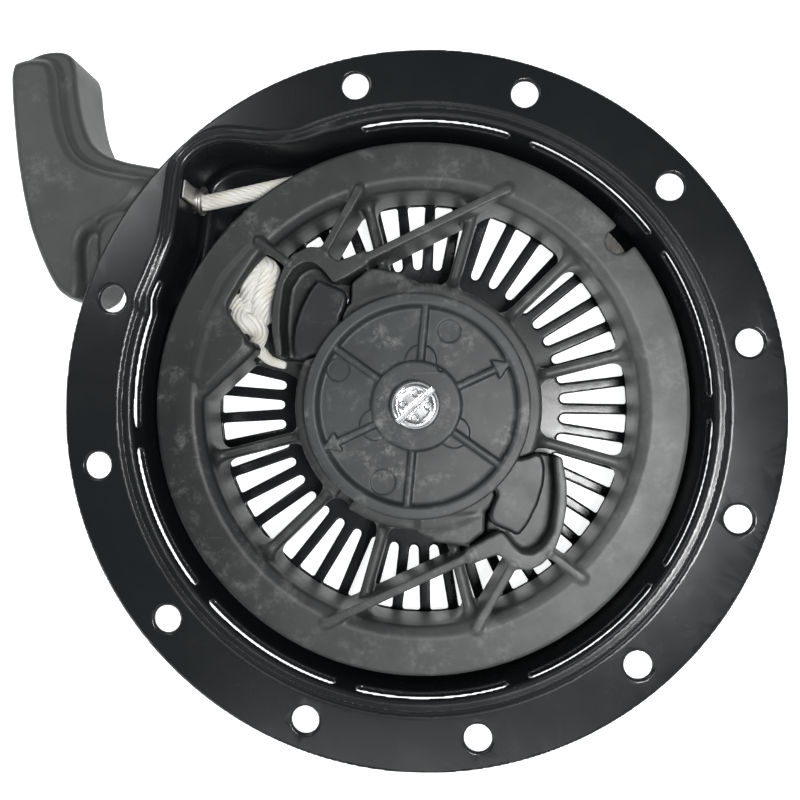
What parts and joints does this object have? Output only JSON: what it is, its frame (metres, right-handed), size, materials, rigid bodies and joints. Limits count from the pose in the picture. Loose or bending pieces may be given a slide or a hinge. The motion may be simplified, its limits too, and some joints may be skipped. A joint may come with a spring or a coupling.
{
  "type": "recoil starter",
  "caption": "Pull-rope recoil starter: pressed steel dish with flange, sprung rope reel, swinging pawls, ratchet guide disc and T handle.",
  "frame": {"origin": "on the reel's axis at the outer face of the dish, which the part rests on", "axes": "+Z along the reel's axis towards the engine; the rope outlet and handle are on the -X, +Y side"},
  "size_m": [0.2638, 0.2532, 0.0444],
  "materials": {
    "black_steel": "black satin paint on pressed steel",
    "zinc_steel": "bright zinc plate",
    "spring_steel": "oiled spring steel",
    "reel_plastic": "dark grey glass-filled nylon, lightly worn",
    "guide_plastic": "dark grey acetal",
    "bronze": "plain bearing bronze",
    "rope_cord": "twisted cream nylon rope",
    "handle_plastic": "dark olive grey moulded plastic"
  },
  "bodies": {
    "base": {"housing": "black_steel", "rope_eyelet": "zinc_steel", "eyelet_flange": "zinc_steel", "centre_post": "zinc_steel", "post_rivet": "zinc_steel", "recoil_spring": "spring_steel", "thrust_washer": "spring_steel", "rope_lead": "rope_cord", "centre_screw": "zinc_steel", "lock_washer": "zinc_steel"},
    "reel": {"reel": "reel_plastic", "reel_bushing": "bronze", "spring_cover": "spring_steel", "rope_coil": "rope_cord", "rope_knot": "rope_cord", "pawl_spring_a": "spring_steel", "pawl_spring_b": "spring_steel"},
    "guide": {"ratchet_guide": "guide_plastic", "friction_spring": "spring_steel"},
    "pawl_a": {"pawl_a": "guide_plastic"},
    "pawl_b": {"pawl_b": "guide_plastic"},
    "handle": {"handle_grip": "handle_plastic", "handle_insert": "zinc_steel", "handle_cap": "handle_plastic", "handle_knot": "rope_cord", "rope_pull": "rope_cord"}
  },
  "joints": [
    {"name": "reel_spin", "type": "hinge", "parent": "base", "child": "reel", "pos_m": [0, 0, 0.02], "axis": [0, 0, 1], "range_deg": [0, 820], "stiffness_Nm_per_rad": 0.05, "springref_deg": -343.77},
    {"name": "handle_pull", "type": "slide", "parent": "base", "child": "handle", "axis": [-0.9914, 0.1305, 0], "range_m": [0, 1.25]},
    {"name": "guide_lag", "type": "hinge", "parent": "reel", "child": "guide", "pos_m": [0, 0, 0.034], "axis": [0, 0, -1], "range_deg": [0, 24], "stiffness_Nm_per_rad": 0.02},
    {"name": "pawl_a_swing", "type": "hinge", "parent": "reel", "child": "pawl_a", "pos_m": [-0.0284, 0.0384, 0.028], "axis": [0, 0, -1], "range_deg": [0, 10], "stiffness_Nm_per_rad": 0.01},
    {"name": "pawl_b_swing", "type": "hinge", "parent": "reel", "child": "pawl_b", "pos_m": [0.0284, -0.0384, 0.028], "axis": [0, 0, -1], "range_deg": [0, 10], "stiffness_Nm_per_rad": 0.01}
  ],
  "couplings": [
    {"joint": "handle_pull", "follows": "reel_spin", "m_per_rad": 0.0871},
    {"joint": "pawl_a_swing", "follows": "guide_lag", "ratio": 0.41667},
    {"joint": "pawl_b_swing", "follows": "guide_lag", "ratio": 0.41667}
  ]
}
